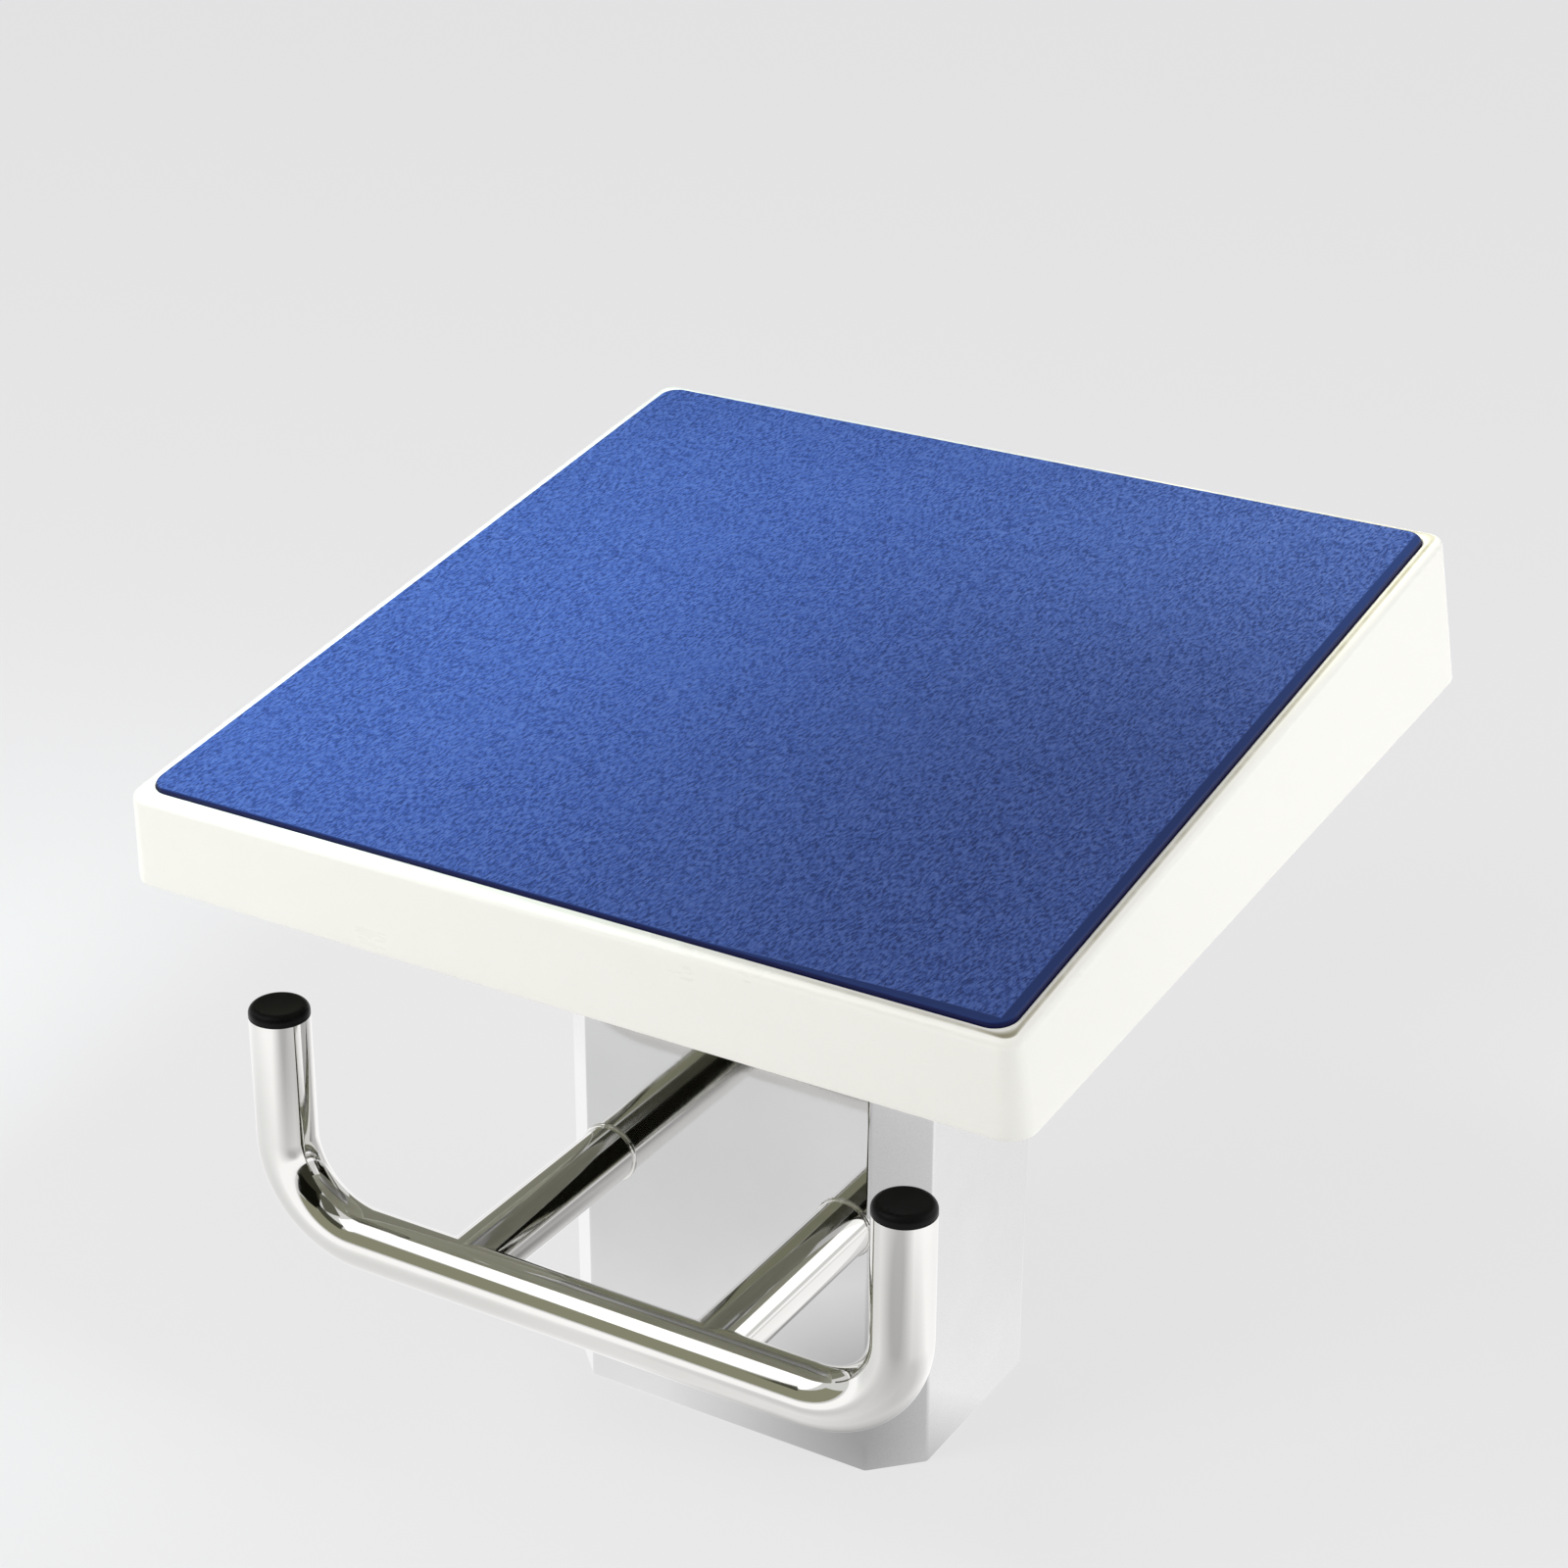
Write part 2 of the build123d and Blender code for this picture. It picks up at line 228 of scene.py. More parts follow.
def shell_outline(inset, depth):
    """Ring of the drafted walls at a depth under the top face, taken in from the outside by an inset."""
    spread = depth * draft - inset
    outline = rounded(
        platform_width / 2 + spread, platform_length / 2 + spread, shell_corner_radius + spread
    )
    return tilt(at_height(outline, -depth))


def shell_rim():
    """Rings of the round edge between the drafted wall and the flat rim, from the wall up."""
    lean = math.atan(draft)
    centre_in = shell_edge_radius / math.cos(lean) - shell_edge_radius * draft
    rings = []
    for step in range(edge_steps + 1):
        a = lean + (math.pi / 2 - lean) * step / edge_steps
        inset = centre_in - shell_edge_radius * math.cos(a)
        depth = shell_edge_radius * (1 - math.sin(a))
        outline = rounded(
            platform_width / 2 - inset, platform_length / 2 - inset, shell_corner_radius - inset
        )
        rings.append(tilt(at_height(outline, -depth)))
    return rings


def recess_ring(gap, height):
    """Ring of the mat recess at a height over the top face."""
    half_x = platform_width / 2 - mat_margin + gap
    half_y = platform_length / 2 - mat_margin + gap
    return tilt(at_height(rounded(half_x, half_y, mat_corner_radius + gap), height))


def platform_shell(material):
    """Moulded wedge: mat recess, flat rim, round edge, drafted walls and the rebate for the base panel."""
    deep = 0.2  # a depth past the underside everywhere, for the walls to be cut from
    foot_round = 0.0008
    outer = shell_outline(0, deep)
    inner_wall = shell_outline(wall_inset, deep)
    rebate_wall = shell_outline(wall_inset - panel_rebate, deep)
    rim = shell_rim()
    outer_top = rim[0]
    inner_top = shell_outline(wall_inset, cavity_depth)
    rebate_top = shell_outline(wall_inset - panel_rebate, cavity_depth)
    foot = shell_outline(foot_round, deep)
    rings = [
        recess_ring(mat_gap, -recess_depth),
        recess_ring(mat_gap, -2 * foot_round),
        recess_ring(mat_gap + foot_round / 3, -foot_round / 3),
        recess_ring(mat_gap + foot_round, 0.0),
        *reversed(rim),
        cut_to(outer_top, outer, 6 * foot_round),
        cut_to(outer_top, outer, foot_round),
        cut_to(outer_top, foot, foot_round / 4),
        cut_to(outer_top, foot),
        cut_to(rebate_top, rebate_wall),
        cut_to(rebate_top, rebate_wall, panel_thickness),
        cut_to(inner_top, inner_wall, panel_thickness),
        inner_top,
    ]
    points, faces = loft(rings)
    edge_start = 4  # the ring where the flat rim ends and the round edge begins
    # Mask of the first two rings of the round edge, where the gelcoat paints its shade line
    line = np.zeros(len(rings))
    line[edge_start : edge_start + 2] = (1.0, 0.6)
    values = {"edge_line": np.repeat(line, len(rim[0]))}
    put("shell", points, faces, material, "platform_shell", values=values)


def cell_noise(x, y, seed):
    """Distances to the nearest and second nearest of scattered points, one for each unit cell."""
    rng = np.random.default_rng(seed)
    size = 512
    scatter = rng.random((size, size, 2))
    cell_x = np.floor(x).astype(int)
    cell_y = np.floor(y).astype(int)
    far = 9.0
    near = np.full(x.shape, far)
    second = np.full(x.shape, far)
    for i in (-1, 0, 1):
        for j in (-1, 0, 1):
            spot = scatter[(cell_x + i) % size, (cell_y + j) % size]
            gap = np.hypot(cell_x + i + spot[..., 0] - x, cell_y + j + spot[..., 1] - y)
            second = np.minimum(second, np.maximum(near, gap))
            near = np.minimum(near, gap)
    return near, second


def value_noise(x, y, seed):
    """Smooth random heights from 0 to 1."""
    rng = np.random.default_rng(seed)
    size = 256
    grid = rng.random((size, size))
    cell_x = np.floor(x).astype(int)
    cell_y = np.floor(y).astype(int)
    u = x - cell_x
    v = y - cell_y
    u = u * u * (3 - 2 * u)
    v = v * v * (3 - 2 * v)
    low = grid[cell_x % size, cell_y % size] * (1 - u) + grid[(cell_x + 1) % size, cell_y % size] * u
    top_row = (cell_y + 1) % size
    high = grid[cell_x % size, top_row] * (1 - u) + grid[(cell_x + 1) % size, top_row] * u
    return low * (1 - v) + high * v


def wrinkles(x, y):
    """Height from 0 to 1 of the mat's embossed grain: short ridges that run one way and merge."""
    width = 0.0035
    length = 0.0075
    sway = 0.003
    wide = 0.012
    sharpness = 0.6
    ridge_share = 0.7
    x_seed, y_seed, cell_seed, height_seed = 3, 4, 7, 9
    x = x + sway * (value_noise(x / wide, y / wide, x_seed) - 0.5)
    y = y + sway * (value_noise(x / wide, y / wide, y_seed) - 0.5)
    along = (x * math.cos(grain_turn) + y * math.sin(grain_turn)) / length
    across = (y * math.cos(grain_turn) - x * math.sin(grain_turn)) / width
    near, second = cell_noise(along, across, cell_seed)
    ridge = np.clip((second - near) / sharpness, 0, 1)
    lumps = value_noise(2 * along, 1.6 * across, height_seed)
    return ridge_share * ridge + 0.3 * lumps


def mat_piece(material):
    """Non-slip mat: a grained top, a bevelled cut edge and a flat back."""
    fade = 0.0015
    relief = 0.00035
    half_x = platform_width / 2 - mat_margin
    half_y = platform_length / 2 - mat_margin
    core_x = half_x - mat_corner_radius
    core_y = half_y - mat_corner_radius
    count_x = round(2 * core_x / mat_cell)
    count_y = round(2 * core_y / mat_cell)
    xs = np.linspace(-core_x, core_x, count_x + 1)
    ys = np.linspace(-core_y, core_y, count_y + 1)

    def ring(inset, height):
        """One ring round the field: straight runs as fine as the field, and round corners."""
        radius = mat_corner_radius - inset
        runs = (
            (core_x + radius, ys, True),
            (core_y + radius, xs[::-1], False),
            (-core_x - radius, ys[::-1], True),
            (-core_y - radius, xs, False),
        )
        centres = ((core_x, core_y), (-core_x, core_y), (-core_x, -core_y), (core_x, -core_y))
        points = []
        for side, (fixed, run, upright) in enumerate(runs):
            for value in run:
                points.append((fixed, value) if upright else (value, fixed))
            cx, cy = centres[side]
            for step in range(1, corner_steps):
                a = math.pi / 2 * (side + step / corner_steps)
                points.append((cx + radius * math.cos(a), cy + radius * math.sin(a)))
        return at_height(np.array(points), height)

    steps = round((mat_corner_radius - mat_bevel) / mat_cell)
    insets = [mat_bevel + (mat_corner_radius - mat_bevel) * i / steps for i in range(steps + 1)]
    soft = 0.3 * mat_bevel
    rings = [
        ring(0.0, -recess_depth),
        ring(0.0, mat_proud - mat_bevel - soft),
        ring(0.15 * soft, mat_proud - mat_bevel),
        ring(mat_bevel - soft, mat_proud - 0.7 * soft),
        ring(mat_bevel, mat_proud - 0.25 * soft),
        ring(mat_bevel + soft, mat_proud),
        *[ring(inset, mat_proud) for inset in insets[1:-1]],
    ]
    count = len(rings[0])
    points, faces = loft(rings)
    faces = faces[:-1]
    field = np.array([(x, y, mat_proud) for y in ys for x in xs])
    start = len(points)
    points = np.vstack([points, field])

    def at(i, j):
        """Number of a point of the field."""
        return start + j * (count_x + 1) + i

    for j in range(count_y):
        for i in range(count_x):
            faces.append((at(i, j), at(i + 1, j), at(i + 1, j + 1), at(i, j + 1)))
    inner = []
    for j in range(count_y + 1):
        inner.append(at(count_x, j))
    inner += [at(count_x, count_y)] * (corner_steps - 1)
    for i in range(count_x, -1, -1):
        inner.append(at(i, count_y))
    inner += [at(0, count_y)] * (corner_steps - 1)
    for j in range(count_y, -1, -1):
        inner.append(at(0, j))
    inner += [at(0, 0)] * (corner_steps - 1)
    for i in range(count_x + 1):
        inner.append(at(i, 0))
    inner += [at(count_x, 0)] * (corner_steps - 1)
    last = start - count
    for j in range(count):
        k = (j + 1) % count
        corners = [last + j, last + k, inner[k], inner[j]]
        face = [c for n, c in enumerate(corners) if c not in corners[:n]]
        if len(face) > 2:
            faces.append(tuple(face))
    front_border = np.interp(points[:, 0], (border_start_x, border_full_x), (thin_border, smooth_border))
    edge_gap = np.minimum.reduce([
        half_x - points[:, 0] - smooth_border,
        half_x + points[:, 0] - thin_border,
        half_y - points[:, 1] - thin_border,
        half_y + points[:, 1] - front_border,
    ])
    rise = np.clip(edge_gap / fade, 0, 1)
    grain = wrinkles(points[:, 0] + half_x, points[:, 1] + half_y)
    points[:, 2] -= relief * (1 - grain) * rise * (points[:, 2] > mat_proud - same_point)
    values = {
        # Height of the grain; the finish darkens its hollows as painted shade
        "crown": np.where(rise > 0, 1 - (1 - grain) * rise, 0.5),
        # The bevel and cut side, which the finish paints dark, partly as painted shade
        "cut_edge": points[:, 2] < mat_proud - 0.5 * mat_bevel,
    }
    put(
        "nonslip_surface", tilt(points), faces, material, "nonslip_mat",
        angle=mat_sharp_angle, values=values,
    )


def column_corners(inset):
    """Corners of the chamfered column section, taken in by an inset, counterclockwise."""
    leg = column_chamfer - inset * (2 - math.sqrt(2))
    x = column_width / 2 - inset
    y = column_depth / 2 - inset
    return [
        (x, -y + leg), (x, y - leg), (x - leg, y), (-x + leg, y),
        (-x, y - leg), (-x, -y + leg), (-x + leg, -y), (x - leg, -y),
    ]


def column_outline(inset):
    """Section of the folded column, with its corners bent to the fold radius."""
    corners = [Vector(c) for c in column_corners(inset)]
    bend = fold_radius - inset
    points = []
    for i, corner in enumerate(corners):
        back = (corners[i - 1] - corner).normalized()
        ahead = (corners[(i + 1) % len(corners)] - corner).normalized()
        half = back.angle(ahead) / 2
        centre = corner + (back + ahead).normalized() * bend / math.sin(half)
        first = corner + back * bend / math.tan(half) - centre
        last = corner + ahead * bend / math.tan(half) - centre
        sweep = first.angle(last)
        for step in range(edge_steps + 1):
            a = sweep * step / edge_steps
            side = first * math.sin(sweep - a) / math.sin(sweep) + last * math.sin(a) / math.sin(sweep)
            points.append(tuple(centre + side))
    return np.array(points)


def column_piece(material):
    """Folded sheet column, open at both ends, cut to the slope of the head plate."""
    rounding = 0.0006
    high = 0.5  # a height past the head plate everywhere, for the walls to be cut from
    outer = column_outline(0.0)
    inner = column_outline(column_wall)
    soft = column_outline(rounding)

    def top(outline):
        """The outline where it meets the head plate."""
        return cut_to(at_height(outline, high), at_height(outline, 0.0), -gasket_and_head)

    rings = [
        at_height(inner, 0.0),
        at_height(soft, 0.0),
        at_height(outer, rounding),
        top(outer),
        top(inner),
    ]
    points, faces = loft(rings, closed=True)
    put("column_sheet", points, faces, material, "column_shell")


def tube(path, radius):
    """Rings of a round tube along a path in the X and Z plane, given as points and directions."""
    rings = []
    for (x, y, z), (dx, dz) in path:
        ring = []
        for side in range(tube_sides):
            a = 2 * math.pi * side / tube_sides
            out = radius * math.cos(a)
            ring.append((x + out * dz, y + radius * math.sin(a), z - out * dx))
        rings.append(np.array(ring))
    return rings


def handle_path():
    """Points and directions along the bar, from its left end down, across and up to its right end."""
    x = handle_span / 2
    low = handle_height
    bend = handle_bend_radius
    path = [((-x, handle_y, handle_end_height), (0, -1))]
    for step in range(bend_steps + 1):
        a = math.pi / 2 * step / bend_steps
        place = (-x + bend - bend * math.cos(a), handle_y, low + bend - bend * math.sin(a))
        path.append((place, (math.sin(a), -math.cos(a))))
    for step in range(bend_steps + 1):
        a = math.pi / 2 * step / bend_steps
        place = (x - bend + bend * math.sin(a), handle_y, low + bend - bend * math.cos(a))
        path.append((place, (math.cos(a), math.sin(a))))
    path.append(((x, handle_y, handle_end_height), (0, 1)))
    return path


def handle_piece(material):
    """Bent bar, a hollow tube."""
    path = handle_path()
    outer = tube(path, tube_radius)
    inner = tube(path, tube_radius - tube_wall)
    points, faces = loft(outer + inner[::-1], closed=True)
    put("handle_tube", points, faces, material, "handle_bar")


def saddle(angle, radius):
    """How far behind the bar's axis an arm's surface meets the bar, at an angle round the arm."""
    height = radius * math.sin(angle)
    return math.sqrt(max(tube_radius**2 - height**2, 0.0))


def ripple(angle, count, depth):
    """Small uneven waves that a welder leaves along a bead."""
    uneven = 0.8 * math.sin(3 * angle)
    return depth * (0.5 + 0.5 * math.sin(count * angle + uneven))


def arm_ring(x, radius_of, y_of):
    """Ring round an arm, with its own radius and depth at each angle."""
    ring = []
    for side in range(tube_sides):
        a = 2 * math.pi * side / tube_sides
        radius = radius_of(a)
        ring.append((x + radius * math.cos(a), y_of(a), handle_height + radius * math.sin(a)))
    return np.array(ring)


def arm_piece(name, node, side, material):
    """Arm from inside the column to the bar, with a weld bead on the column's sheet and one at the bar."""
    x = side * arm_spacing / 2
    face = -column_depth / 2
    inner_end = face + column_wall + backing_thickness
    bore = tube_radius - tube_wall
    wave = 0.00025
    sheet_waves = 40
    bar_waves = 32
    fullness = 0.8

    def sheet_bead(a):
        """Size of the bead on the column's sheet."""
        return weld_reach - ripple(a, sheet_waves, wave)

    rings = [
        arm_ring(x, lambda a: tube_radius, lambda a: inner_end),
        arm_ring(x, lambda a: tube_radius, lambda a: face + 2 * weld_reach),
        arm_ring(x, lambda a: tube_radius + weld_reach, lambda a: face + 2 * weld_reach),
    ]
    for step in range(edge_steps + 1):
        t = math.pi / 2 * step / edge_steps
        rings.append(arm_ring(
            x,
            lambda a, t=t: tube_radius + sheet_bead(a) * math.cos(t) ** fullness,
            lambda a, t=t: face - sheet_bead(a) * math.sin(t),
        ))

    def bead(a):
        """Width of the bead at the bar, which runs out where the tubes' crowns meet."""
        return (weld_reach - ripple(a, bar_waves, wave)) * math.cos(a) ** 2

    for step in range(edge_steps + 1):
        t = math.pi / 2 * step / edge_steps

        def radius_of(a, t=t):
            """Radius of one ring of the bead."""
            return tube_radius + bead(a) * math.sin(t)

        rings.append(arm_ring(
            x, radius_of, lambda a, t=t: handle_y + saddle(a, radius_of(a)) + bead(a) * math.cos(t)
        ))
    rings.append(arm_ring(x, lambda a: bore, lambda a: handle_y + saddle(a, bore)))
    rings.append(arm_ring(x, lambda a: bore, lambda a: inner_end))
    points, faces = loft(rings, closed=True)
    put(name, points, faces, material, node)


def cap_piece(name, node, side, material):
    """End cap: a turned disc with a round edge and a slightly hollow top, and its plug in the tube."""
    seam = 0.0004
    hollow = ((0.0, 0.0006), (0.006, 0.0005), (0.0105, 0.0002))  # radius, and depth under the crown
    profile = [(r, cap_height - depth) for r, depth in hollow]
    shoulder = tube_radius - cap_edge_radius
    for step in range(edge_steps + 1):
        a = math.pi / 2 * (1 - step / edge_steps)
        r = shoulder + cap_edge_radius * math.cos(a)
        profile.append((r, cap_height - cap_edge_radius + cap_edge_radius * math.sin(a)))
    profile += [(tube_radius, seam), (tube_radius - seam, 0.0), (plug_radius, 0.0)]
    profile += [(plug_radius, -plug_length), (0.0, -plug_length)]
    rings = []
    for r, h in profile[1:-1]:
        ring = []
        for i in range(tube_sides):
            a = 2 * math.pi * i / tube_sides
            ring.append((r * math.cos(a), r * math.sin(a), h))
        rings.append(np.array(ring))
    points, faces = loft(rings)
    faces = faces[:-2]
    top = len(points)
    points = np.vstack([points, [(0, 0, profile[0][1]), (0, 0, profile[-1][1])]])
    last = (len(rings) - 1) * tube_sides
    for i in range(tube_sides):
        k = (i + 1) % tube_sides
        faces.append((top, i, k))
        faces.append((top + 1, last + k, last + i))
    points = points + np.array([side * handle_span / 2, handle_y, handle_end_height])
    put(name, points, faces, material, node)


class Finish:
    """A material under construction: its nodes, and short ways to add the common ones."""

    def __init__(self, name, metallic=0.0):
        self.material = bpy.data.materials.new(name)
        self.material.use_nodes = True
        self.tree = self.material.node_tree
        self.shader = self.tree.nodes["Principled BSDF"]
        self.shader.inputs["Metallic"].default_value = metallic
        self.shader.inputs["IOR"].default_value = 1.5
        self.place = self.tree.nodes.new("ShaderNodeTexCoord").outputs["Object"]

    def link(self, value, socket):
        """Feeds a socket from another socket, or sets it to a plain value."""
        if isinstance(value, bpy.types.NodeSocket):
            self.tree.links.new(value, socket)
        else:
            socket.default_value = value

    def scaled(self, factors, turn=(0, 0, 0)):
        """The object's place, stretched along its axes."""
        node = self.tree.nodes.new("ShaderNodeMapping")
        node.vector_type = "TEXTURE"
        node.inputs["Scale"].default_value = [1 / factor for factor in factors]
        node.inputs["Rotation"].default_value = turn
        self.link(self.place, node.inputs["Vector"])
        return node.outputs["Vector"]

    def noise(self, scale, detail=3.0, rough=0.55, place=None, distortion=0.0):
        """Noise from 0 to 1 with a number of lumps in each metre."""
        node = self.tree.nodes.new("ShaderNodeTexNoise")
        node.inputs["Scale"].default_value = scale
        node.inputs["Detail"].default_value = detail
        node.inputs["Roughness"].default_value = rough
        node.inputs["Distortion"].default_value = distortion
        self.link(place or self.place, node.inputs["Vector"])
        return node.outputs["Fac"]

    def span(self, value, low, high, to_low=0.0, to_high=1.0):
        """A value from one range brought to another, clamped."""
        node = self.tree.nodes.new("ShaderNodeMapRange")
        self.link(value, node.inputs["Value"])
        node.inputs["From Min"].default_value = low
        node.inputs["From Max"].default_value = high
        node.inputs["To Min"].default_value = to_low
        node.inputs["To Max"].default_value = to_high
        return node.outputs["Result"]

    def math(self, kind, a, b=0.0):
        """One sum on two values."""
        node = self.tree.nodes.new("ShaderNodeMath")
        node.operation = kind
        self.link(a, node.inputs[0])
        self.link(b, node.inputs[1])
        return node.outputs["Value"]

    def mix(self, share, first, second):
        """A colour between two others."""
        node = self.tree.nodes.new("ShaderNodeMix")
        node.data_type = "RGBA"
        self.link(share, node.inputs["Factor"])
        for value, socket in ((first, node.inputs[6]), (second, node.inputs[7])):
            self.link(value if isinstance(value, bpy.types.NodeSocket) else (*value, 1.0), socket)
        return node.outputs[2]

    def attribute(self, name):
        """A number that the mesh holds at each of its points."""
        node = self.tree.nodes.new("ShaderNodeAttribute")
        node.attribute_name = name
        return node.outputs["Fac"]

    def axis(self, name):
        """One coordinate of the object's place."""
        node = self.tree.nodes.new("ShaderNodeSeparateXYZ")
        self.link(self.place, node.inputs["Vector"])
        return node.outputs[name]

    def bump(self, height, distance, strength=1.0, below=None):
        """A bumped normal, on top of another one where given."""
        node = self.tree.nodes.new("ShaderNodeBump")
        node.inputs["Distance"].default_value = distance
        node.inputs["Strength"].default_value = strength
        self.link(height, node.inputs["Height"])
        if below is not None:
            self.link(below, node.inputs["Normal"])
        return node.outputs["Normal"]

    def done(self, colour, roughness, normal):
        """The finished material."""
        self.link(colour, self.shader.inputs["Base Color"])
        self.link(roughness, self.shader.inputs["Roughness"])
        self.link(normal, self.shader.inputs["Normal"])
        return self.material


def gelcoat():
    """White gelcoat: faint waves of the mould, a few scuffs, and a painted shade line where the rim turns
    into the side, most of it on the right side and darkest at its front corner."""
    f = Finish("white_gelcoat")
    f.shader.inputs["Coat Weight"].default_value = 0.4
    f.shader.inputs["Coat Roughness"].default_value = 0.08
    clouds = f.noise(9.0, 4.0)
    specks = f.span(f.noise(900.0, 2.0), 0.62, 0.75)
    colour = f.mix(clouds, (0.87, 0.87, 0.80), (0.90, 0.90, 0.84))
    colour = f.mix(f.math("MULTIPLY", specks, 0.18), colour, (0.70, 0.69, 0.62))
    # Painted shade: a darker line where the rim turns into the side, most of it on the right side
    patchy = f.span(f.noise(35.0, 4.0, 0.6), 0.35, 0.6, 0.5, 1.0)
    line = f.span(f.attribute("edge_line"), 0.25, 0.8)
    side = f.span(f.axis("X"), 0.1, 0.24, 0.15, 0.9)
    grime_and_painted_shade = f.math("MULTIPLY", line, f.math("MULTIPLY", patchy, side))
    colour = f.mix(grime_and_painted_shade, colour, (0.42, 0.40, 0.30))
    # More painted shade, darkest at the front corner of the right side
    right = f.span(f.axis("X"), 0.228, 0.242)
    corner = f.math("MULTIPLY", right, f.span(f.axis("Y"), -0.240, -0.226, 1.0, 0.0))
    colour = f.mix(f.math("MULTIPLY", line, corner), colour, (0.27, 0.25, 0.17))
    scuffs = f.span(f.noise(60.0, 5.0, 0.7, f.scaled((1, 1, 6))), 0.45, 0.85)
    roughness = f.math("ADD", f.span(clouds, 0.3, 0.7, 0.26, 0.36), f.math("MULTIPLY", scuffs, 0.06))
    waves = f.bump(f.noise(26.0, 2.0), 0.0005, 0.2)
    return f.done(colour, roughness, f.bump(f.noise(1300.0, 2.0), 0.00006, 0.5, waves))


def mat_rubber():
    """Blue rubber with a fine embossed grain: painted shade in its valleys, a painted sheen on its ridges, a
    smooth right side painted darker for want of that sheen, and a dark cut edge, the rubber's colour with
    painted shade.
    """
    f = Finish("blue_rubber")
    f.shader.inputs["Specular IOR Level"].default_value = 0.2
    x = f.axis("X")
    rise = f.math("MULTIPLY", f.math("SUBTRACT", f.axis("Z"), platform_top_z), math.sin(top_slope))
    run = f.math("MULTIPLY", f.math("SUBTRACT", f.axis("Y"), platform_centre_y), math.cos(top_slope))
    from_front = f.math("ADD", f.math("ADD", run, rise), platform_length / 2 - mat_margin)
    side_line = platform_width / 2 - mat_margin - smooth_border
    front_line = f.span(x, border_start_x, border_full_x, thin_border, smooth_border)
    soft = 0.0003
    side = f.span(x, side_line - soft, side_line + soft)
    front = f.span(f.math("SUBTRACT", from_front, front_line), -soft, soft, 1.0, 0.0)
    border = f.math("MAXIMUM", side, front)
    grained = f.math("SUBTRACT", 1.0, border)
    clouds = f.noise(5.0, 4.0)
    place = f.scaled((1, 0.35, 1), (0, 0, grain_turn - math.pi / 2))
    ridges = f.noise(830.0, 1.2, 0.6, place, 0.25)
    height = f.math("ADD", 0.5, f.math("MULTIPLY", f.math("SUBTRACT", ridges, 0.5), grained))
    fine = f.noise(1500.0, 3.0)
    colour = f.mix(clouds, (0.038, 0.080, 0.29), (0.044, 0.092, 0.33))
    # Painted shade in the grain's valleys, and a painted sheen on its ridges
    colour = f.mix(f.span(height, 0.36, 0.5, 0.75, 0.0), colour, (0.008, 0.020, 0.10))
    colour = f.mix(f.span(height, 0.50, 0.66, 0.0, 0.5), colour, (0.11, 0.18, 0.47))
    # Painted shade in the hollows of the mesh's relief
    colour = f.mix(f.span(f.attribute("crown"), 0.2, 0.6, 0.1, 0.0), colour, (0.015, 0.038, 0.16))
    wear = f.math("MULTIPLY", f.span(f.noise(14.0, 5.0, 0.65), 0.5, 0.8, 0.0, 0.25), grained)
    colour = f.mix(wear, colour, (0.06, 0.12, 0.40))
    # Painted shade: the smooth border is darker, standing in for the sheen that the grained field catches
    # and it lacks
    colour = f.mix(f.math("MULTIPLY", border, 0.95), colour, (0.010, 0.026, 0.115))
    # The cut edge: the rubber's own dark colour with painted shade of the gap to the shell
    colour = f.mix(f.attribute("cut_edge"), colour, (0.004, 0.006, 0.055))
    roughness = f.math("ADD", f.span(height, 0.4, 0.6, 0.50, 0.36), f.span(fine, 0.3, 0.7, 0.0, 0.1))
    return f.done(colour, roughness, f.bump(fine, 0.00008, 0.4, f.bump(height, 0.0014, 1.0)))


def column_steel():
    """Stainless sheet, polished to a near mirror with a fine cross grain and faint smears."""
    f = Finish("satin_mirror_steel", 1.0)
    grain = f.noise(700.0, 3.0, 0.6, f.scaled((1, 1, 0.12)))
    fine = f.noise(2600.0, 2.0)
    smears = f.noise(11.0, 4.0, 0.6)
    colour = f.mix(smears, (0.64, 0.64, 0.64), (0.76, 0.76, 0.755))
    colour = f.mix(f.span(fine, 0.35, 0.65, 0.0, 0.5), colour, (0.54, 0.54, 0.545))
    roughness = f.math("ADD", f.span(smears, 0.3, 0.7, 0.03, 0.06), f.span(grain, 0.3, 0.7, 0.0, 0.03))
    return f.done(colour, roughness, f.bump(grain, 0.00001, 0.2, f.bump(f.noise(18.0, 2.0), 0.0004, 0.12)))


def polished_steel():
    """Polished stainless tube with hairline scratches and finger marks."""
    f = Finish("polished_tube_steel", 1.0)
    lines = f.noise(380.0, 3.0, 0.6, f.scaled((0.25, 1, 1)))
    marks = f.span(f.noise(28.0, 5.0, 0.7), 0.52, 0.7)
    colour = f.mix(f.noise(15.0, 3.0), (0.70, 0.695, 0.67), (0.78, 0.775, 0.755))
    roughness = f.math("ADD", f.span(lines, 0.4, 0.7, 0.035, 0.075), f.math("MULTIPLY", marks, 0.06))
    return f.done(colour, roughness, f.bump(lines, 0.00001, 0.15, f.bump(f.noise(45.0, 2.0), 0.0002, 0.08)))


def plate_steel():
    """Laser-cut stainless plate as it comes from the mill: dull, with faint roll lines."""
    f = Finish("plate_steel", 1.0)
    tone = 0.5
    clouds = f.noise(24.0, 5.0, 0.6)
    lines = f.noise(240.0, 4.0, 0.6, f.scaled((1, 0.08, 1)))
    dark = (tone * 0.85, tone * 0.85, tone * 0.86)
    colour = f.mix(clouds, dark, (tone * 1.1, tone * 1.1, tone * 1.09))
    roughness = f.math("ADD", f.span(clouds, 0.3, 0.7, 0.3, 0.42), f.span(lines, 0.3, 0.7, 0.0, 0.08))
    return f.done(colour, roughness, f.bump(lines, 0.00004, 0.3))


